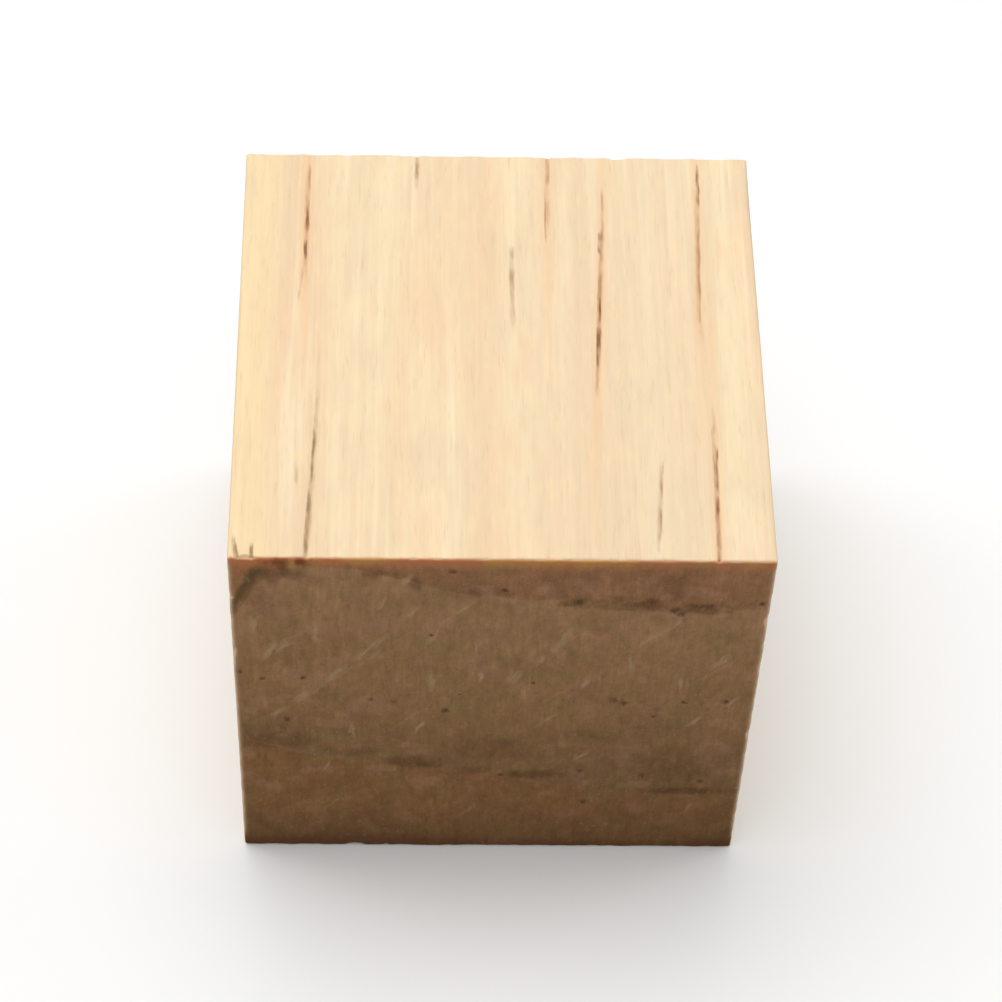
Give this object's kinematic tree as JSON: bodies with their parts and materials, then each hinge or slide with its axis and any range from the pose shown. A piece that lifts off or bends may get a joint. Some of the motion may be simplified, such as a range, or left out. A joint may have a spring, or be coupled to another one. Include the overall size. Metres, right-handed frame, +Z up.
{
  "type": "wooden cube",
  "caption": "Plain bare softwood cube with crisp eased arrises, planed long-grain faces and cross-cut end-grain faces.",
  "frame": {"origin": "middle of the bottom face, which rests on the table", "axes": "+Z up; the wood's fibres run along Y, with the pictured end-grain face towards -Y and its planed top face towards +Z"},
  "size_m": [0.03, 0.03, 0.03],
  "materials": {
    "pine": "bare, planed along the grain and sawn across it"
  },
  "bodies": {
    "root": {"wooden_cube": "pine"}
  },
  "joints": []
}
